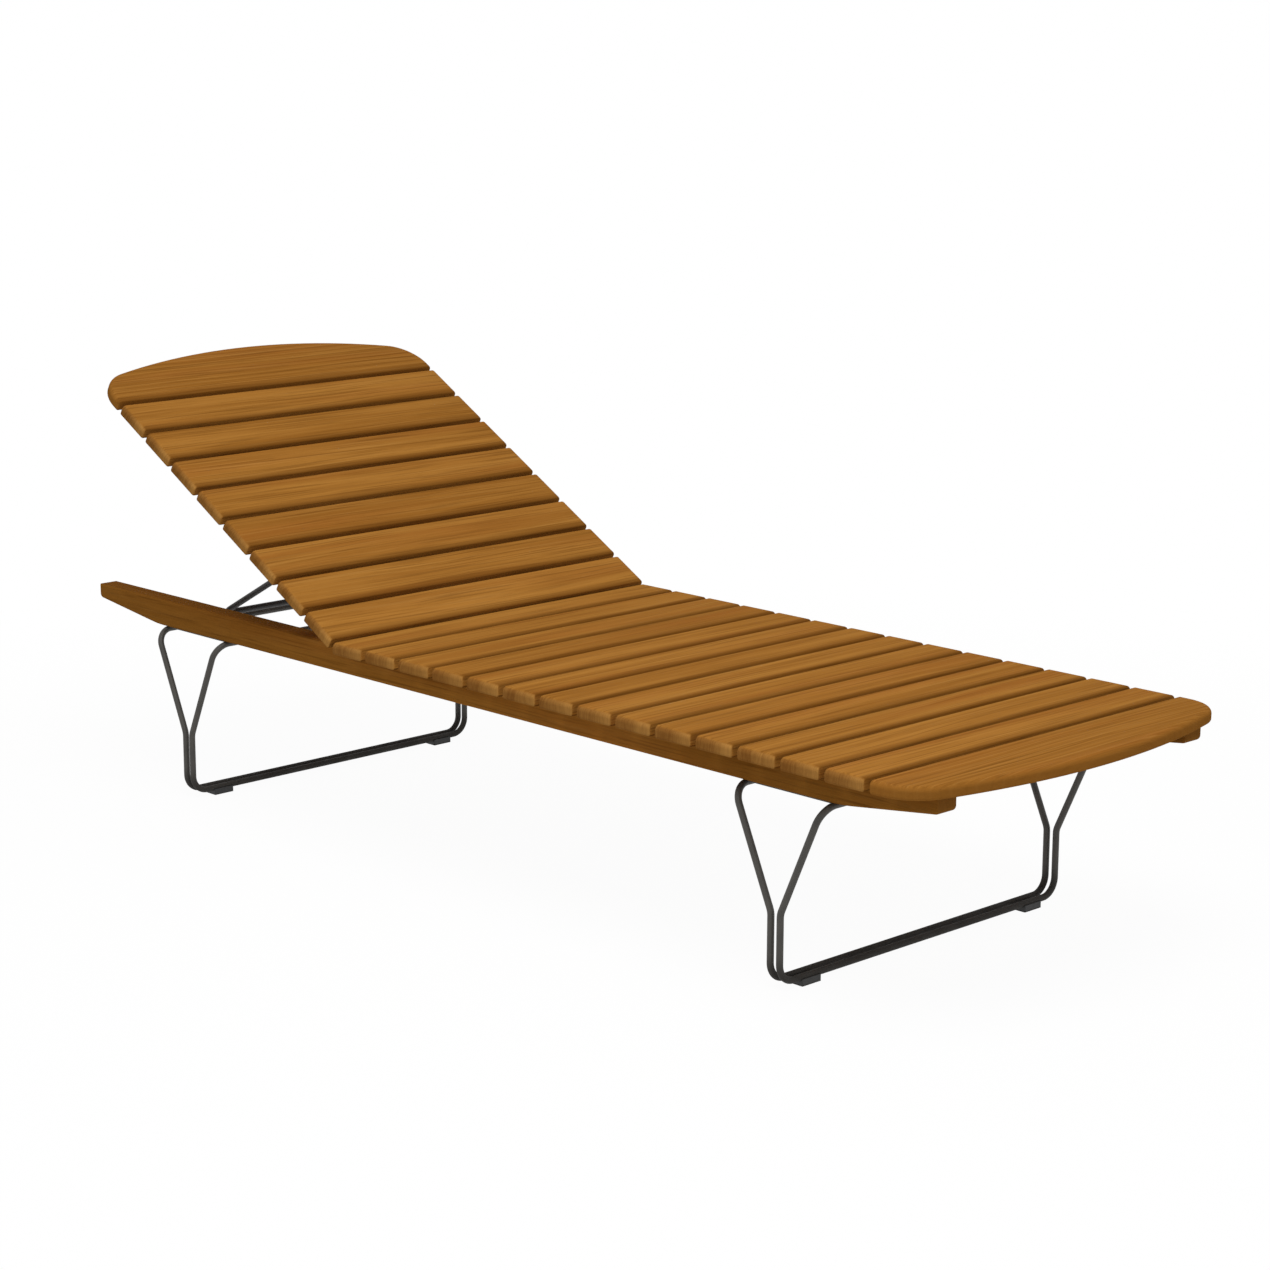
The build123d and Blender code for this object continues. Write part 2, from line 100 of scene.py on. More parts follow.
class Wire:
    """A node's output that takes part in shader maths as a value."""

    def __init__(self, shader: "Shader", socket: bpy.types.NodeSocket) -> None:
        """Hold a socket and the shader that it belongs to."""
        self.shader = shader
        self.socket = socket

    def _join(self, operation: str, first: Number, second: Number) -> "Wire":
        """Add a Math node of two values."""
        inputs = {"Value": first, "Value_001": second}
        return self.shader.wire("ShaderNodeMath", {"operation": operation}, inputs)

    def __add__(self, other: Number) -> "Wire":
        """Sum of two values."""
        return self._join("ADD", self, other)

    def __mul__(self, other: Number) -> "Wire":
        """Product of two values."""
        return self._join("MULTIPLY", self, other)

    def __sub__(self, other: Number) -> "Wire":
        """Difference of two values."""
        return self._join("SUBTRACT", self, other)

    def __truediv__(self, other: Number) -> "Wire":
        """Quotient of two values."""
        return self._join("DIVIDE", self, other)

    def __radd__(self, other: Number) -> "Wire":
        """Sum with this value second."""
        return self._join("ADD", other, self)

    def __rmul__(self, other: Number) -> "Wire":
        """Product with this value second."""
        return self._join("MULTIPLY", other, self)

    def __rsub__(self, other: Number) -> "Wire":
        """Difference with this value second."""
        return self._join("SUBTRACT", other, self)

    def __abs__(self) -> "Wire":
        """Value without its sign."""
        return self._join("ABSOLUTE", self, 0.0)

    def floor(self) -> "Wire":
        """Whole part of the value."""
        return self._join("FLOOR", self, 0.0)

    def fraction(self) -> "Wire":
        """Part of the value after the point."""
        return self._join("FRACT", self, 0.0)

    def at_most(self, limit: Number) -> "Wire":
        """Value held at or below a limit."""
        return self._join("MINIMUM", self, limit)

    def at_least(self, limit: Number) -> "Wire":
        """Value held at or above a limit."""
        return self._join("MAXIMUM", self, limit)

    def ease(self, low: float, high: float) -> "Wire":
        """Smooth change from 0 at low to 1 at high."""
        inputs = {"Value": self, "From Min": low, "From Max": high}
        return self.shader.wire("ShaderNodeMapRange", {"interpolation_type": "SMOOTHSTEP"}, inputs)


class Shader:
    """Node tree of a material or a world, with one way to add nodes."""

    def __init__(self, owner: Union[bpy.types.Material, bpy.types.World]) -> None:
        """Start an empty tree on its owner."""
        owner.use_nodes = True
        self.tree = owner.node_tree
        self.tree.nodes.clear()

    def add(self, kind: str, settings: dict[str, object], inputs: dict[str, object]) -> bpy.types.Node:
        """Add a node, set it up, then fill or link its inputs.

        Args:
            kind: Type of the node.
            settings: Properties of the node.
            inputs: Values or wires, by the identifier of the socket.

        Returns:
            The new node.
        """
        node = self.tree.nodes.new(kind)
        for key, value in settings.items():
            setattr(node, key, value)
        sockets = {socket.identifier: socket for socket in node.inputs}
        for key, value in inputs.items():
            if isinstance(value, Wire):
                self.tree.links.new(value.socket, sockets[key])
            else:
                sockets[key].default_value = value
        return node

    def wire(
        self, kind: str, settings: dict[str, object], inputs: dict[str, object], output: str | None = None
    ) -> Wire:
        """Add a node and take one of its outputs.

        Args:
            kind: Type of the node.
            settings: Properties of the node.
            inputs: Values or wires, by the identifier of the socket.
            output: Identifier of the output, or None for the first.

        Returns:
            The output as a wire.
        """
        sockets = self.add(kind, settings, inputs).outputs
        chosen = sockets[0] if output is None else next(s for s in sockets if s.identifier == output)
        return Wire(self, chosen)

    def coordinate(self, kind: str) -> Wire:
        """Texture coordinate of the shaded point."""
        return self.wire("ShaderNodeTexCoord", {}, {}, kind)

    def dot(self, vector: Wire, direction: Triple) -> Wire:
        """Share of a vector along a direction."""
        inputs = {"Vector": vector, "Vector_001": direction}
        return self.wire("ShaderNodeVectorMath", {"operation": "DOT_PRODUCT"}, inputs, "Value")

    def mix(self, share: Number, first: object, second: object) -> Wire:
        """Blend of two colours, from the first at 0 to the second at 1."""
        inputs = {"Factor_Float": share, "A_Color": first, "B_Color": second}
        return self.wire("ShaderNodeMix", {"data_type": "RGBA"}, inputs, "Result_Color")

    def noise(self, place: Wire, size: float, detail: float) -> Wire:
        """Cloudy noise of a size at a place."""
        inputs = {"Vector": place, "Scale": 1.0 / size, "Detail": detail}
        return self.wire("ShaderNodeTexNoise", {}, inputs)

    def chance(self, key: Number) -> Wire:
        """Even random value that depends on a key alone."""
        return self.wire("ShaderNodeTexWhiteNoise", {"noise_dimensions": "1D"}, {"W": key}, "Value")

    def bump(self, height: Wire, distance: float, strength: float) -> Wire:
        """Normal that is raised by a height."""
        inputs = {"Height": height, "Distance": distance, "Strength": strength}
        return self.wire("ShaderNodeBump", {}, inputs)

    def surface(self, closure: Wire) -> None:
        """Send a closure to a material's output."""
        self.add("ShaderNodeOutputMaterial", {}, {"Surface": closure})


@dataclass(frozen=True)
class Deck:
    """Flat plane that boards lie on, with its directions in the row frame."""

    origin: Triple
    along: Triple
    across: Triple
    up: Triple

    def point(self, along: float, across: float, up: float) -> Vector:
        """Place at distances from the deck's origin."""
        axes = (Vector(self.along), Vector(self.across), Vector(self.up))
        return Vector(self.origin) + axes[0] * along + axes[1] * across + axes[2] * up


@dataclass(frozen=True)
class Grain:
    """How a group of boards was cut, how they are spaced and which edge of each board gets the painted
    shade of the gap beside it.
    """

    origin: Triple
    fibres: Triple
    width: Triple
    depth: Triple
    pitch: float
    board_width: float
    last_board: int
    shade_side: int


@dataclass(frozen=True)
class Lumber:
    """Wires that say where a shaded point lies in its board."""

    along: Wire
    across: Wire
    through: Wire
    board: Wire
    inset: Wire
    is_last: Wire

    @staticmethod
    def measure(shader: Shader, grain: Grain) -> "Lumber":
        """Measure a shaded point against the boards it may lie in.

        Args:
            shader: Shader that gains the nodes.
            grain: Directions and spacing of the boards.

        Returns:
            The point's distances, the number of its board, how far it lies in from the edge that gets
            painted gap shade, and whether its board is the wide one at the end, which has no such edge.
        """
        inputs = {"Vector": shader.coordinate("Object"), "Vector_001": grain.origin}
        place = shader.wire("ShaderNodeVectorMath", {"operation": "SUBTRACT"}, inputs)
        across = shader.dot(place, grain.width)
        board = (across / grain.pitch).floor().at_most(grain.last_board)
        is_last = (board - (grain.last_board - 1.0)).at_least(0.0)
        cell = (across - board * grain.pitch).at_most(grain.pitch * (1.0 - 0.5 * is_last))
        inset = grain.board_width / 2 - (cell - grain.pitch / 2) * grain.shade_side
        along = shader.dot(place, grain.fibres)
        return Lumber(along, across, shader.dot(place, grain.depth), board, inset, is_last)


@dataclass(frozen=True)
class Figure:
    """One layer of grain: noise by its waves per metre in the wood, its levels and the amount used."""

    along: float
    across: float
    depth: float
    detail: float
    amount: float
    levels: Pair = (0.0, 1.0)
    relief: float = 0.0
    shift: float = 0.0

    def raw(self, shader: Shader, along: Wire, across: Wire, depth: Wire) -> Wire:
        """Noise of the layer before its levels.

        Args:
            shader: Shader that gains the nodes.
            along: Distance along the fibres.
            across: Distance across the boards.
            depth: Distance through the boards.

        Returns:
            The noise.
        """
        axes = {"X": along * self.along + self.shift, "Y": across * self.across, "Z": depth * self.depth}
        return shader.noise(shader.wire("ShaderNodeCombineXYZ", {}, axes), 1.0, self.detail)

    def strength(self, shader: Shader, along: Wire, across: Wire, depth: Wire) -> Wire:
        """Noise of the layer, spread between its levels."""
        return self.raw(shader, along, across, depth).ease(*self.levels)


@dataclass(frozen=True)
class WoodFinish:
    """Oiled hardwood with long streaks, fine fibres and glued strips at its ends, with painted shade along
    the slat gaps and at the rail tips, and painted light on one side of the ends.
    """

    name: str
    pale: Colour
    middle: Colour
    ruddy: Colour
    dark: Colour
    end_pale: Colour
    end_dark: Colour
    wander: Figure = Figure(2.2, 14.0, 14.0, 1.0, amount=20.0 * MM)
    cloud: Figure = Figure(1.6, 55.0, 40.0, 2.0, amount=0.7, levels=(0.3, 0.7))
    blush: Figure = Figure(1.1, 24.0, 24.0, 1.0, amount=0.5, levels=(0.42, 0.72), shift=9.0)
    sheen: Figure = Figure(3.6, 380.0, 300.0, 2.0, amount=0.3, levels=(0.52, 0.68), shift=4.0)
    streak: Figure = Figure(4.5, 300.0, 250.0, 2.0, amount=0.42, levels=(0.5, 0.68), relief=0.25)
    fibre: Figure = Figure(9.0, 950.0, 950.0, 2.0, amount=0.2, levels=(0.3, 0.7), relief=0.6)
    pore: Figure = Figure(30.0, 1500.0, 1500.0, 1.0, amount=0.24, levels=(0.6, 0.74), relief=0.5)
    ring_bend: Figure = Figure(1.3, 9.0, 9.0, 0.0, amount=2.4)
    ring_pitch: float = 11.0 * MM
    line_width: Pair = (0.02, 0.1)
    line_amount: float = 0.1
    last_line_amount: float = 0.2
    vein_width: Pair = (0.01, 0.08)
    vein_place: float = 0.4
    vein_amount: float = 0.4
    run_seed: float = 31.7
    run_spread: float = 7.0
    tone_seed: float = 0.37
    tone_amount: float = 0.3
    last_dulling: float = 0.7
    end_sway: Figure = Figure(1.0, 30.0, 60.0, 0.0, amount=6.0 * MM)
    end_ring: Figure = Figure(1.0, 420.0, 50.0, 1.0, amount=0.2, levels=(0.35, 0.65))
    end_speck: Figure = Figure(300.0, 900.0, 900.0, 2.0, amount=0.15, levels=(0.35, 0.7))
    strip_width: float = 18.0 * MM
    strip_seed: float = 57.1
    strip_keys: Pair = (1.31, 3.7)
    strip_amount: float = 0.25
    # Painted light on the slat ends, paler towards the foot-facing edge.
    end_painted_light_reach: float = 50.0 * MM
    end_painted_light_amount: float = 0.55
    end_facing: Pair = (0.3, 0.8)
    end_roughness: float = 0.1
    last_end_cover: float = 0.9
    rim_facing: Pair = (0.55, 0.98)
    rim_amount: float = 0.8
    wall_facing: Pair = (0.0, 0.35)
    # Painted shade along the edge of each slat that faces the gap towards the foot end.
    gap_shade_reach: float = 16.0 * MM
    gap_shade_amount: float = 0.68
    # Painted shade at the rail tips, standing in for the backrest's shade over the head end.
    tip_start: float = 340.0 * MM
    tip_full: float = 560.0 * MM
    tip_shade: float = 0.0
    roughness: float = 0.7
    gloss: float = 0.003
    bump_height: float = 0.25 * MM
    bump_strength: float = 0.5

    @staticmethod
    def ring_line(phase: Wire, width: Pair) -> Wire:
        """Thin line in the middle of every growth ring."""
        return 1.0 - abs(phase - 0.5).ease(*width)

    def face(self, shader: Shader, lumber: Lumber) -> tuple[Wire, Wire]:
        """Colour and height of the grain along a board's faces.

        Args:
            shader: Shader that gains the nodes.
            lumber: Place of the shaded point in its board.

        Returns:
            The colour and the height.
        """
        run = lumber.along + shader.chance(lumber.board + self.run_seed) * self.run_spread
        drift = self.wander.raw(shader, run, lumber.across, lumber.through)
        place = (run, lumber.across + drift * self.wander.amount, lumber.through)
        layers = (self.cloud, self.blush, self.sheen, self.streak, self.fibre, self.pore)
        cloud, blush, sheen, streak, fibre, pore = [layer.strength(shader, *place) for layer in layers]
        bend = self.ring_bend.amount * self.ring_bend.raw(shader, *place)
        ring = (place[1] / self.ring_pitch + bend).fraction()
        line = self.ring_line(ring, self.line_width)
        vein = self.ring_line((ring + self.vein_place).fraction(), self.vein_width)
        tone = shader.chance(lumber.board + self.tone_seed)
        share = cloud * self.cloud.amount + tone * self.tone_amount
        colour = shader.mix(share * (1.0 - self.last_dulling * lumber.is_last), self.middle, self.pale)
        tints = (
            (blush * self.blush.amount, self.ruddy),
            (sheen * self.sheen.amount, self.end_pale),
            (streak * self.streak.amount, self.dark),
            ((1.0 - fibre) * self.fibre.amount, self.dark),
            (pore * self.pore.amount, self.dark),
            (line * (self.line_amount + self.last_line_amount * lumber.is_last), self.end_pale),
            (vein * self.vein_amount * lumber.is_last, self.dark),
        )
        for amount, tint in tints:
            colour = shader.mix(amount, colour, tint)
        return colour, fibre * self.fibre.relief - streak * self.streak.relief - pore * self.pore.relief

    def end_grain(self, shader: Shader, lumber: Lumber) -> Wire:
        """Colour of a board's ends, where the glued strips that it is made of show.

        Args:
            shader: Shader that gains the nodes.
            lumber: Place of the shaded point in its board.

        Returns:
            The colour.
        """
        sway = self.end_sway.raw(shader, lumber.board, lumber.across, lumber.through)
        bend = lumber.across + sway * self.end_sway.amount
        strip = (bend / self.strip_width + shader.chance(lumber.board + self.strip_seed)).floor()
        tone = shader.chance(strip * self.strip_keys[0] + lumber.board * self.strip_keys[1])
        ring = self.end_ring.strength(shader, lumber.board, bend, lumber.through)
        speck = self.end_speck.strength(shader, lumber.along, lumber.across, lumber.through)
        share = tone * self.strip_amount + ring * self.end_ring.amount + speck * self.end_speck.amount
        # Painted light: each end is paler towards the edge facing the foot end, where light falls on it,
        # and darker away from it.
        share = share + lumber.inset.ease(0.0, self.end_painted_light_reach) * self.end_painted_light_amount
        return shader.mix(share, self.end_pale, self.end_dark)

    def material(self, grain: Grain) -> bpy.types.Material:
        """Make the material for boards that were cut in one way.

        Args:
            grain: Directions and spacing of the boards.

        Returns:
            The material.
        """
        made = bpy.data.materials.new(self.name)
        shader = Shader(made)
        lumber = Lumber.measure(shader, grain)
        colour, height = self.face(shader, lumber)
        normal = shader.coordinate("Normal")
        ends = abs(shader.dot(normal, grain.fibres)).ease(*self.end_facing)
        ends = ends * (1.0 - self.last_end_cover * lumber.is_last)
        facing = abs(shader.dot(normal, grain.depth))
        rim = 1.0 - facing.ease(*self.rim_facing)
        colour = shader.mix(rim * self.rim_amount * lumber.is_last, colour, self.middle)
        colour = shader.mix(ends, colour, self.end_grain(shader, lumber))
        # Painted shade: the rails darken towards both ends, standing in for the shade of the raised
        # backrest over the head end.
        tip_painted_shade = abs(lumber.along).ease(self.tip_start, self.tip_full) * self.tip_shade
        colour = shader.mix(tip_painted_shade, colour, self.dark)
        # Painted shade: the open face darkens towards the foot-facing edge, where shade falls into the gap
        # between slats; the gap walls stay clear.
        gap_painted_shade = (1.0 - lumber.inset.ease(0.0, self.gap_shade_reach)) * self.gap_shade_amount * (1.0 - ends)
        colour = shader.mix(gap_painted_shade * facing.ease(*self.wall_facing), colour, self.dark)
        inputs = {
            "Base Color": colour,
            "Roughness": self.roughness + self.end_roughness * ends,
            "Specular IOR Level": self.gloss,
            "Normal": shader.bump(height, self.bump_height, self.bump_strength),
        }
        shader.surface(shader.wire("ShaderNodeBsdfPrincipled", {}, inputs))
        return made


@dataclass(frozen=True)
class HardFinish:
    """Steel or plastic with a faintly mottled surface, with painted shade near the floor, where it is also
    rougher and less metallic.
    """

    name: str
    pale: Colour
    dark: Colour
    metallic: float
    roughness: float
    mottle_size: float
    peel_size: float
    peel_height: float
    # Painted shade: the colour that the surface turns to near the floor.
    low_shade: Colour = srgb(46, 43, 39)
    low_shade_height: float = 2.0 * MM
    low_shade_start: float = 0.3
    low_roughness: float = 0.3
    mottle_levels: Pair = (0.3, 0.7)
    mottle_detail: float = 3.0
    mottle_roughness: float = 0.1
    peel_detail: float = 1.0
    peel_strength: float = 0.4

    def material(self) -> bpy.types.Material:
        """Make the material.

        Returns:
            The material.
        """
        made = bpy.data.materials.new(self.name)
        shader = Shader(made)
        place = shader.coordinate("Object")
        mottle = shader.noise(place, self.mottle_size, self.mottle_detail).ease(*self.mottle_levels)
        peel = shader.noise(place, self.peel_size, self.peel_detail)
        height = shader.dot(place, (0.0, 0.0, 1.0))
        # Painted shade: the colour turns to the shade colour towards the floor, standing in for the shade
        # on the floor runs; there it is also rougher and less metallic.
        above_floor = height.ease(self.low_shade_start * self.low_shade_height, self.low_shade_height)
        rough = self.roughness + self.mottle_roughness * mottle + self.low_roughness * (1.0 - above_floor)
        inputs = {
            "Base Color": shader.mix(above_floor, self.low_shade, shader.mix(mottle, self.dark, self.pale)),
            "Metallic": self.metallic * above_floor,
            "Roughness": rough,
            "Normal": shader.bump(peel, self.peel_height, self.peel_strength),
        }
        shader.surface(shader.wire("ShaderNodeBsdfPrincipled", {}, inputs))
        return made


def loft(mesh: bmesh.types.BMesh, rings: Sequence[Sequence[Vector]]) -> None:
    """Skin closed rings of points in order, and close both ends.

    Args:
        mesh: Mesh that gains the faces.
        rings: Rings with the same number of points.
    """
    rows = [[mesh.verts.new(point) for point in ring] for ring in rings]
    count = len(rows[0])
    for low, high in zip(rows, rows[1:]):
        for index in range(count):
            after = (index + 1) % count
            mesh.faces.new((low[index], low[after], high[after], high[index]))
    mesh.faces.new(rows[0][::-1])
    mesh.faces.new(rows[-1])


def add_piece(
    name: str, mesh: bmesh.types.BMesh, body: Body, material: bpy.types.Material
) -> bpy.types.Object:
    """Turn a finished mesh into a piece that rides on a body.

    Args:
        name: Name of the piece.
        mesh: Mesh in the row frame; it is used up.
        body: Body that carries the piece.
        material: Material of the piece.

    Returns:
        The new object.
    """
    bmesh.ops.recalc_face_normals(mesh, faces=mesh.faces[:])
    data = bpy.data.meshes.new(name)
    mesh.to_mesh(data)
    mesh.free()
    data.materials.append(material)
    data.shade_smooth()
    data.set_sharp_from_angle(angle=SHARP_ANGLE)
    made = bpy.data.objects.new(name, data)
    bpy.context.scene.collection.objects.link(made)
    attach(made, body.value)
    return made


def dress(nodes: Sequence[str], material: bpy.types.Material) -> None:
    """Give a material to nodes of the frame.

    Args:
        nodes: Names of the nodes.
        material: Material that they share.
    """
    for name in nodes:
        for holder in frame["nodes"][name].material_slots:
            holder.material = material
        LOG.info("%s wears %s", name, material.name)


def soften(nodes: Sequence[str], radius: float) -> None:
    """Break the sharp edges of nodes with a small bevel.

    Args:
        nodes: Names of the nodes.
        radius: Width of the bevel.
    """
    for name in nodes:
        bevel = frame["nodes"][name].modifiers.new("broken_edges", "BEVEL")
        bevel.width = radius
        bevel.segments = 2
        bevel.limit_method = "ANGLE"
        bevel.angle_limit = SHARP_ANGLE
        bevel.harden_normals = True


@dataclass(frozen=True)
class ScrewSize:
    """Sizes of a screw, with its tip, dome and socket as shares of its radius and its head's height."""

    shank_radius: float
    head_radius: float
    head_height: float
    bite: float
    tip_radius: float = 0.12
    tip_length: float = 2.2
    dome: tuple[Pair, ...] = ((1.0, 0.0), (1.0, 0.35), (0.9, 0.75), (0.7, 1.0))
    socket: tuple[Pair, ...] = ((0.5, 1.0), (0.46, 0.4))


@dataclass
class Screws:
    """Screws of one kind: a shallow dome with a six-sided socket on a pointed shank."""

    node: str
    body: Body
    deck: Deck
    places: list[Pair]
    grip: float
    size: ScrewSize
    sides: int = 24

    def ring(self, centre: Pair, radius: float, up: float, six_sided: bool = False) -> list[Vector]:
        """Ring of points about a screw's axis.

        Args:
            centre: Place of the axis on the deck.
            radius: Radius of the ring, to its corners if it is six-sided.
            up: Height above the deck.
            six_sided: Whether the ring is a hexagon rather than round.

        Returns:
            The points in order.
        """
        points = []
        for step in range(self.sides):
            turn = 2 * math.pi * step / self.sides
            flat = math.cos(math.pi / 6) / math.cos((turn % (math.pi / 3)) - math.pi / 6)
            reach = radius * flat if six_sided else radius
            along = centre[0] + reach * math.cos(turn)
            points.append(self.deck.point(along, centre[1] + reach * math.sin(turn), up))
        return points

    def build(self, material: bpy.types.Material) -> None:
        """Make all the screws as one piece that stands for their node.

        Args:
            material: Material of the screws.
        """
        mesh = bmesh.new()
        size = self.size
        seat = -self.grip
        shank = (
            (size.shank_radius * size.tip_radius, size.bite),
            (size.shank_radius, size.bite - size.tip_length * size.shank_radius),
            (size.shank_radius, seat),
        )
        dome = [(size.head_radius * wide, seat - size.head_height * deep) for wide, deep in size.dome]
        socket = [(size.head_radius * wide, seat - size.head_height * deep) for wide, deep in size.socket]
        for centre in self.places:
            rings = [self.ring(centre, radius, up) for radius, up in (*shank, *dome)]
            rings += [self.ring(centre, radius, up, six_sided=True) for radius, up in socket]
            loft(mesh, rings)
        made = add_piece(f"{self.node}_set", mesh, self.body, material)
        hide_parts(self.node)
        LOG.info("%s stands for %s", made.name, self.node)


@dataclass
class Welds:
    """Rippled weld beads laid along short straight seams, thinner at both ends."""

    name: str
    body: Body
    seams: list[Seam]
    radius: float = 2.0 * MM
    ripple: float = 2.4 * MM
    ripple_depth: float = 0.12
    ripple_steps: int = 6
    least_steps: int = 8
    taper: float = 8.0
    tip_area: float = 0.02
    sides: int = 10

    def build(self, material: bpy.types.Material) -> None:
        """Make all the beads as one piece.

        Args:
            material: Material of the beads.
        """
        mesh = bmesh.new()
        angles = [2 * math.pi * side / self.sides for side in range(self.sides)]
        for start, end in self.seams:
            way = end - start
            turn = way.to_track_quat("Z", "X")
            steps = max(self.least_steps, int(way.length / self.ripple * self.ripple_steps))
            rings = []
            for step in range(steps + 1):
                share = step / steps
                wave = math.cos(2 * math.pi * share * way.length / self.ripple)
                swell = 1.0 - self.ripple_depth + self.ripple_depth * wave
                close = min(1.0, math.sqrt(max(self.tip_area, self.taper * share * (1.0 - share))))
                size = self.radius * swell * close
                spokes = [Vector((size * math.cos(angle), size * math.sin(angle), 0.0)) for angle in angles]
                rings.append([start + way * share + turn @ spoke for spoke in spokes])
            loft(mesh, rings)
        made = add_piece(self.name, mesh, self.body, material)
        LOG.info("%s rides on %s", made.name, self.body.value)


@dataclass
class Lounger:
    """Layout that the bed, the backrest and the legs share, in metres."""

    slat_width: float = 70.0 * MM
    slat_gap: float = 9.0 * MM
    seat_slats: int = 14
    backrest_slats: int = 8
    rest_angle: float = math.radians(29.6)
    backrest_drop: float = 5.5 * MM
    rail_line: float = 266.5 * MM
    batten_line: float = 233.0 * MM

    @property
    def pitch(self) -> float:
        """Distance from one slat to the next."""
        return self.slat_width + self.slat_gap

    @property
    def seat_deck(self) -> Deck:
        """Plane under the seat slats, from the edge of the first slat."""
        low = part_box("seat_slat_01")[0]
        return Deck((low[0], 0.0, low[2]), (1, 0, 0), (0, 1, 0), (0, 0, 1))

    @property
    def backrest_deck(self) -> Deck:
        """Plane under the backrest slats, from the hinge axis towards the head end."""
        hinge = next(j for j in frame["record"]["behaviour"]["joints"] if j["name"] == "backrest_hinge")
        sine = math.sin(self.rest_angle)
        cosine = math.cos(self.rest_angle)
        origin = Vector(hinge["pos_m"]) - Vector((sine, 0, cosine)) * self.backrest_drop
        return Deck(tuple(origin), (-cosine, 0, sine), (0, -1, 0), (sine, 0, cosine))


@dataclass
class Boards:
    """All wooden boards: slats, rails and battens."""

    layout: Lounger
    slat_finish: WoodFinish
    rail_finish: WoodFinish

    def dress_slats(self) -> None:
        """Dress the slats of the seat and the backrest."""
        layout = self.layout
        seat = layout.seat_deck
        back = layout.backrest_deck
        seat_nodes = [f"seat_slat_{n:02d}" for n in range(1, layout.seat_slats + 1)] + ["foot_slat"]
        back_nodes = [f"backrest_slat_{n:02d}" for n in range(1, layout.backrest_slats + 1)] + ["head_slat"]
        seat_start = tuple(seat.point(-layout.slat_gap / 2, 0, 0))
        spacing = (layout.pitch, layout.slat_width)
        groups = (
            (seat_nodes, seat, seat_start, layout.seat_slats, 1),
            (back_nodes, back, back.origin, layout.backrest_slats, -1),
        )
        for nodes, deck, start, last_board, shade_side in groups:
            grain = Grain(start, deck.across, deck.along, deck.up, *spacing, last_board, shade_side)
            dress(nodes, self.slat_finish.material(grain))

    def dress_bearers(self) -> None:
        """Dress the rails and the battens, with each side of the bed as a board of its own."""
        seat = self.layout.seat_deck
        back = self.layout.backrest_deck
        half = self.layout.rail_line * 2
        right = (0.0, -half, 0.0)
        spacing = (half, half, len(SIDES), 1)
        for kind, deck in (("rail", seat), ("batten", back)):
            grain = Grain(right, deck.along, seat.across, deck.up, *spacing)
            dress([f"{kind}_{side}" for side in SIDES], self.rail_finish.material(grain))

    def build(self) -> None:
        """Dress every board with wood that is cut its own way."""
        self.dress_slats()
        self.dress_bearers()


@dataclass
class Steelwork:
    """Legs, plates, prop and racks, with the weld beads that join them."""

    finish: HardFinish
    shaded_prop_finish: HardFinish
    rod_radius: float = 5.0 * MM
    bead_inset: float = 2.0 * MM
    plate_seam_lift: float = 0.3 * MM
    rack_seam_drop: float = 1.6 * MM
    rack_seam_reach: float = 4.0 * MM
    rack_bead_radius: float = 1.5 * MM
    rack_edge: float = 0.5 * MM

    def plate_seams(self) -> list[Seam]:
        """Find the seams across both ends of every leg plate.

        Returns:
            The ends of each seam.
        """
        seams = []
        for plate in [f"leg_plate_{leg}_{side}" for leg in LEGS for side in SIDES]:
            low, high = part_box(plate)
            height = low[2] + self.plate_seam_lift
            for x in (low[0], high[0]):
                start = Vector((x, low[1] + self.bead_inset, height))
                seams.append((start, Vector((x, high[1] - self.bead_inset, height))))
        return seams

    def rack_seams(self) -> list[Seam]:
        """Find the seams along both faces of every rack, where it stands on the top runs.

        Returns:
            The ends of each seam.
        """
        outer_low, outer_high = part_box("head_leg_loop_outer")
        inner_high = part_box("head_leg_loop_inner")[1]
        runs = (
            (outer_low[0] + self.rod_radius, outer_high[2] - self.rack_seam_drop),
            (inner_high[0] - self.rod_radius, inner_high[2] - self.rack_seam_drop),
        )
        seams = []
        for side in SIDES:
            low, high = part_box(f"rack_{side}")
            for middle, height in runs:
                for y in (low[1], high[1]):
                    start = Vector((middle - self.rack_seam_reach, y, height))
                    seams.append((start, Vector((middle + self.rack_seam_reach, y, height))))
        return seams

    def build(self) -> None:
        """Dress the steel nodes and lay the weld beads."""
        material = self.finish.material()
        plates = [f"leg_plate_{leg}_{side}" for leg in LEGS for side in SIDES]
        loops = [f"{leg}_leg_loop_{place}" for leg in LEGS for place in ("outer", "inner")]
        racks = [f"rack_{side}" for side in SIDES]
        dress(loops + plates + racks, material)
        # Painted shade: the prop wears a darker copy of the frame steel.
        dress(["prop"], self.shaded_prop_finish.material())
        soften(racks, self.rack_edge)
        Welds("leg_plate_welds", Body.BASE, self.plate_seams()).build(material)
        Welds("rack_welds", Body.BASE, self.rack_seams(), radius=self.rack_bead_radius).build(material)


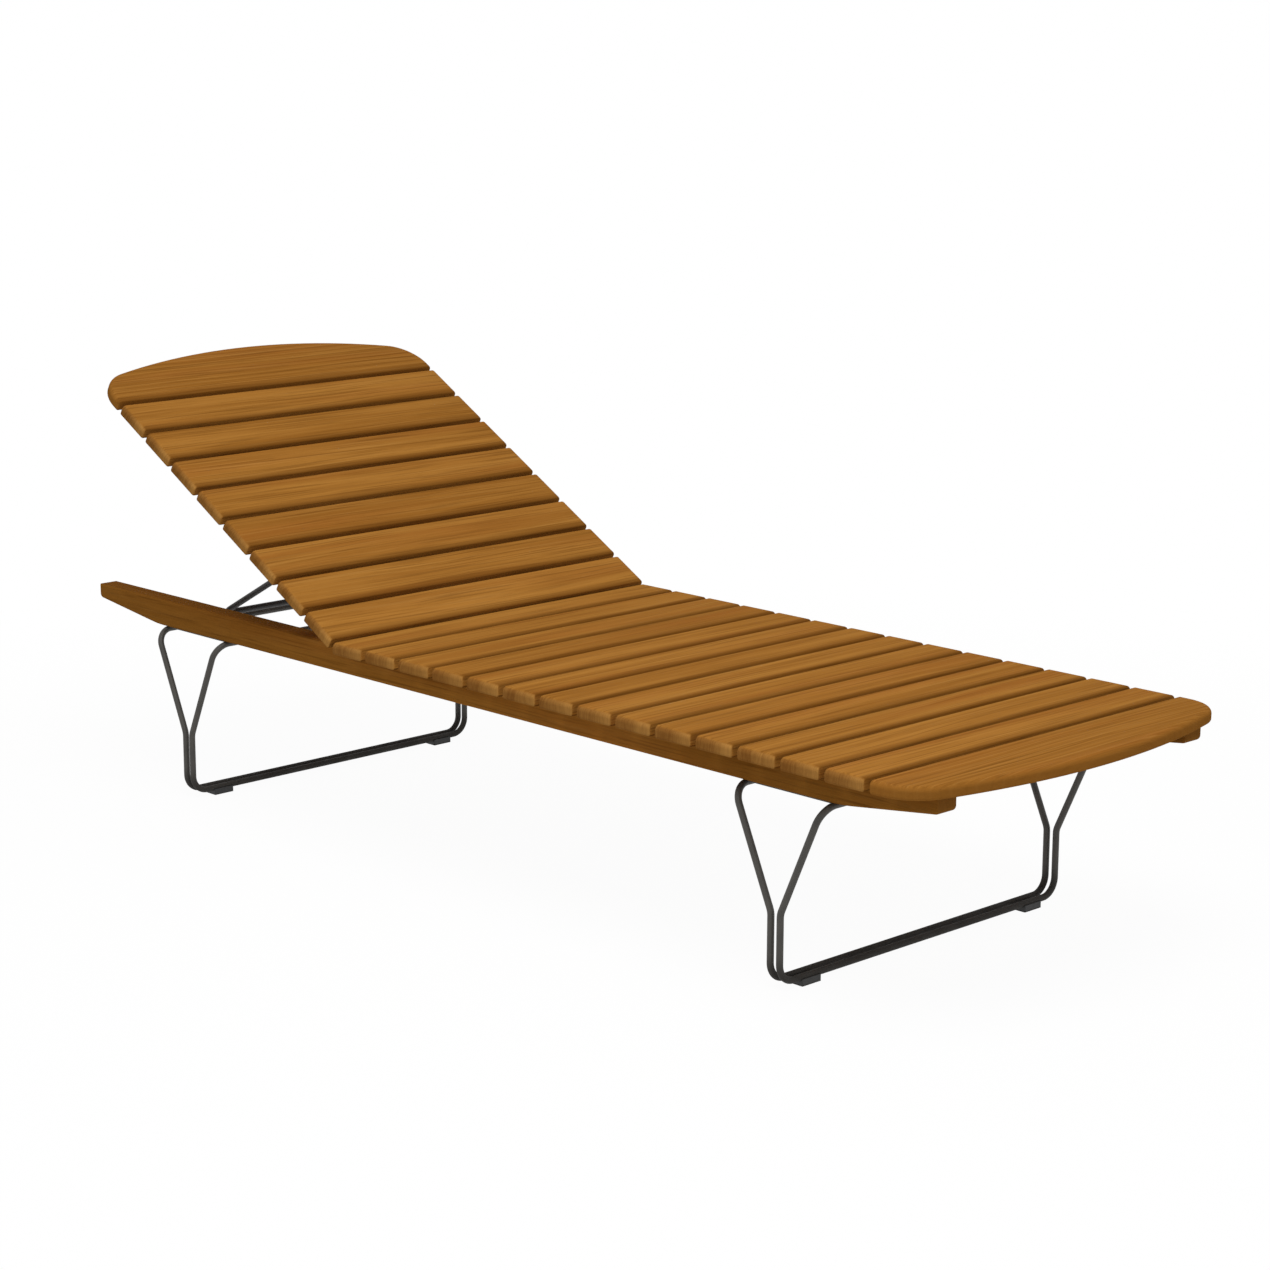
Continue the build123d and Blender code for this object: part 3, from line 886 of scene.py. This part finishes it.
@dataclass
class Fittings:
    """Hinges, pins, screws and glides."""

    layout: Lounger
    metal: HardFinish
    plastic: HardFinish
    large: ScrewSize = ScrewSize(2.5 * MM, 4.75 * MM, head_height=3.0 * MM, bite=12.0 * MM)
    small: ScrewSize = ScrewSize(1.75 * MM, 3.5 * MM, head_height=2.0 * MM, bite=11.0 * MM)
    rail_grip: float = 20.0 * MM
    batten_grip: float = 13.0 * MM
    plate_grip: float = 3.0 * MM
    leaf_grip: float = 1.5 * MM
    plate_screw_inset: float = 25.0 * MM
    hinge_line: float = 150.0 * MM
    hinge_screw_step: float = 20.0 * MM
    hinge_screw_reach: float = 15.0 * MM
    glide_edge: float = 0.8 * MM

    def both_sides(self, lines: Sequence[float], offset: float) -> list[Pair]:
        """Points at both sides of the bed, at each distance along it."""
        return [(line, side * offset) for line in lines for side in (1, -1)]

    def slat_points(self, start: float, slats: int, offset: float) -> list[Pair]:
        """Points under the middle of every slat, the wide one at the end included."""
        lines = [start + n * self.layout.pitch for n in range(slats + 1)]
        return self.both_sides(lines, offset)

    def hinge_points(self, along: float) -> list[Pair]:
        """Points of the hinge screws on a deck."""
        steps = (-self.hinge_screw_step, 0.0, self.hinge_screw_step)
        return [(along, side * self.hinge_line + step) for side in (1, -1) for step in steps]

    def plate_points(self) -> list[Pair]:
        """Find the points of the screws through the leg plates.

        Returns:
            The points on the plane under the rails.
        """
        lines = []
        for leg in LEGS:
            low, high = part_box(f"leg_plate_{leg}_left")
            lines += [low[0] + self.plate_screw_inset, high[0] - self.plate_screw_inset]
        return self.both_sides(lines, self.layout.rail_line)

    def screw_sets(self) -> list[Screws]:
        """Lay out the screws of every kind.

        Returns:
            One set for each node of screws.
        """
        layout = self.layout
        seat = layout.seat_deck
        back = layout.backrest_deck
        plate = Deck((0.0, 0.0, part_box("rail_left")[0][2]), seat.along, seat.across, seat.up)
        middle = layout.slat_width / 2
        half_gap = layout.slat_gap / 2
        seat_points = self.slat_points(middle, layout.seat_slats, layout.rail_line)
        back_points = self.slat_points(half_gap + middle, layout.backrest_slats, layout.batten_line)
        seat_hinge = self.hinge_points(self.hinge_screw_reach - half_gap)
        back_hinge = self.hinge_points(self.hinge_screw_reach)
        base, backrest = Body.BASE, Body.BACKREST
        return [
            Screws("seat_slat_screws", base, seat, seat_points, self.rail_grip, self.large),
            Screws("backrest_slat_screws", backrest, back, back_points, self.batten_grip, self.large),
            Screws("leg_plate_screws", base, plate, self.plate_points(), self.plate_grip, self.small),
            Screws("hinge_seat_screws", base, seat, seat_hinge, self.leaf_grip, self.small),
            Screws("hinge_backrest_screws", backrest, back, back_hinge, self.leaf_grip, self.small),
        ]

    def build(self) -> None:
        """Dress the fittings and replace the plain screws."""
        metal = self.metal.material()
        leaves = [f"hinge_{half}_leaf_{side}" for half in ("seat", "backrest") for side in SIDES]
        pins = [f"{kind}_pin_{side}" for kind in ("hinge", "prop") for side in SIDES]
        glides = [f"glide_{leg}_{side}" for leg in LEGS for side in SIDES]
        dress(leaves + pins, metal)
        dress(glides, self.plastic.material())
        soften(glides, self.glide_edge)
        for screws in self.screw_sets():
            screws.build(metal)


@dataclass
class Studio:
    """Camera, lamp, floor and white surroundings."""

    camera_place: Triple = (3.32325, -3.1566, 1.3614)
    azimuth: float = math.radians(45.919)
    elevation: float = math.radians(12.482)
    roll: float = math.radians(0.214)
    focal_pixels: float = 3012.29
    image_pixels: float = 1270.0
    sensor: float = 36.0
    sight: float = 100.0
    key_place: Triple = (1.1, -0.95, 3.6)
    key_aim: Triple = (0.0, 0.0, 0.3)
    key_size: float = 2.6
    key_power: float = 92.0
    ambient: float = 0.42
    floor_radius: float = 8.0
    floor_segments: int = 96
    floor_bounce: Colour = (0.7, 0.7, 0.7, 1.0)
    floor_seen: Colour = (0.95, 0.95, 0.95, 1.0)
    floor_white: float = 0.96
    floor_fade: Pair = (0.9, 2.2)

    def add_camera(self) -> None:
        """Place the camera at the viewing angle of the photograph."""
        data = bpy.data.cameras.new("view")
        data.sensor_width = self.sensor
        data.lens = self.focal_pixels / self.image_pixels * self.sensor
        data.clip_end = self.sight
        sine, cosine = math.sin(self.azimuth), math.cos(self.azimuth)
        flat = math.cos(self.elevation)
        back = Vector((sine * flat, -cosine * flat, math.sin(self.elevation)))
        level = Vector((cosine, sine, 0.0))
        right = level * math.cos(self.roll) + back.cross(level) * math.sin(self.roll)
        turned = Matrix((right, back.cross(right), back)).transposed().to_4x4()
        made = bpy.data.objects.new("view", data)
        made.matrix_world = Matrix.Translation(self.camera_place) @ turned
        bpy.context.scene.collection.objects.link(made)
        bpy.context.scene.camera = made

    def add_key(self) -> None:
        """Hang one large soft lamp above the near side."""
        data = bpy.data.lights.new("key", "AREA")
        data.shape = "DISK"
        data.size = self.key_size
        data.energy = self.key_power
        made = bpy.data.objects.new("key", data)
        made.location = self.key_place
        aim = Vector(self.key_aim) - Vector(self.key_place)
        made.rotation_euler = aim.to_track_quat("-Z", "Y").to_euler()
        bpy.context.scene.collection.objects.link(made)

    def seen(self, shader: Shader) -> Wire:
        """Tell whether a ray comes from the camera, straight or by way of gloss or glass.

        Args:
            shader: Shader that gains the nodes.

        Returns:
            1 for such a ray, and otherwise 0.
        """
        rays = ["Is Camera Ray", "Is Glossy Ray", "Is Transmission Ray"]
        first, second, third = [shader.wire("ShaderNodeLightPath", {}, {}, ray) for ray in rays]
        return first.at_least(second).at_least(third)

    def add_world(self) -> None:
        """Surround the scene with white that lights it gently."""
        world = bpy.data.worlds.new("studio")
        bpy.context.scene.world = world
        shader = Shader(world)
        strength = self.ambient + (1.0 - self.ambient) * self.seen(shader)
        glow = shader.wire("ShaderNodeBackground", {}, {"Color": WHITE, "Strength": strength})
        shader.add("ShaderNodeOutputWorld", {}, {"Surface": glow})

    def floor_material(self) -> bpy.types.Material:
        """Make a pale material that keeps the shadow and fades to white.

        Returns:
            The material.
        """
        made = bpy.data.materials.new("pale_floor")
        shader = Shader(made)
        inputs = {"Vector": shader.coordinate("Object")}
        away = shader.wire("ShaderNodeVectorMath", {"operation": "LENGTH"}, inputs, "Value")
        seen = self.seen(shader)
        colour = shader.mix(seen, self.floor_bounce, self.floor_seen)
        matt = shader.wire("ShaderNodeBsdfDiffuse", {}, {"Color": colour})
        white = shader.wire("ShaderNodeEmission", {}, {"Color": WHITE, "Strength": 1.0})
        fade = away.ease(*self.floor_fade)
        share = seen * (self.floor_white + (1.0 - self.floor_white) * fade)
        blend = {"Fac": share, "Shader": matt, "Shader_001": white}
        shader.surface(shader.wire("ShaderNodeMixShader", {}, blend))
        return made

    def add_floor(self) -> None:
        """Lay a round floor."""
        mesh = bmesh.new()
        bmesh.ops.create_circle(
            mesh, cap_ends=True, segments=self.floor_segments, radius=self.floor_radius
        )
        data = bpy.data.meshes.new("floor")
        mesh.to_mesh(data)
        mesh.free()
        data.materials.append(self.floor_material())
        made = bpy.data.objects.new("floor", data)
        bpy.context.scene.collection.objects.link(made)

    def build(self) -> None:
        """Set up the whole studio."""
        bpy.context.scene.view_settings.view_transform = "Standard"
        self.add_camera()
        self.add_key()
        self.add_world()
        self.add_floor()


SLAT_WOOD = WoodFinish(
    "oiled_slat_wood",
    pale=srgb(176, 121, 53),
    middle=srgb(150, 98, 38),
    ruddy=srgb(154, 94, 38),
    dark=srgb(98, 58, 16),
    end_pale=srgb(184, 133, 68),
    end_dark=srgb(130, 84, 36),
)
RAIL_WOOD = WoodFinish(
    "oiled_rail_wood",
    pale=srgb(172, 116, 47),
    middle=srgb(150, 97, 34),
    ruddy=srgb(154, 92, 34),
    dark=srgb(92, 54, 14),
    end_pale=srgb(172, 120, 58),
    end_dark=srgb(146, 96, 40),
    tip_shade=0.35,
)
FRAME_STEEL = HardFinish(
    "satin_dark_steel",
    pale=srgb(82, 79, 74),
    dark=srgb(68, 66, 62),
    metallic=0.3,
    roughness=0.5,
    mottle_size=30.0 * MM,
    peel_size=0.9 * MM,
    peel_height=0.03 * MM,
    low_shade_height=60.0 * MM,
)
# Painted shade: a darker copy of the frame steel for the prop, which lies in the shade of the backrest.
SHADED_PROP_STEEL = HardFinish(
    "prop_steel_painted_shade",
    pale=srgb(56, 54, 52),
    dark=srgb(46, 45, 44),
    metallic=0.3,
    roughness=0.5,
    mottle_size=30.0 * MM,
    peel_size=0.9 * MM,
    peel_height=0.03 * MM,
)
FITTING_STEEL = HardFinish(
    "zinc_steel",
    pale=srgb(186, 186, 184),
    dark=srgb(160, 160, 160),
    metallic=1.0,
    roughness=0.34,
    mottle_size=6.0 * MM,
    peel_size=0.5 * MM,
    peel_height=0.02 * MM,
)
GLIDE_PLASTIC = HardFinish(
    "black_glide_plastic",
    pale=srgb(34, 34, 34),
    dark=srgb(26, 26, 26),
    metallic=0.0,
    roughness=0.5,
    mottle_size=8.0 * MM,
    peel_size=0.7 * MM,
    peel_height=0.05 * MM,
)


def main() -> None:
    """Build the finishes, the details and the studio in order."""
    logging.basicConfig(level=logging.INFO, format="%(message)s")
    layout = Lounger()
    Boards(layout, SLAT_WOOD, RAIL_WOOD).build()
    Steelwork(FRAME_STEEL, SHADED_PROP_STEEL).build()
    Fittings(layout, FITTING_STEEL, GLIDE_PLASTIC).build()
    Studio().build()


if __name__ == "__main__":
    main()
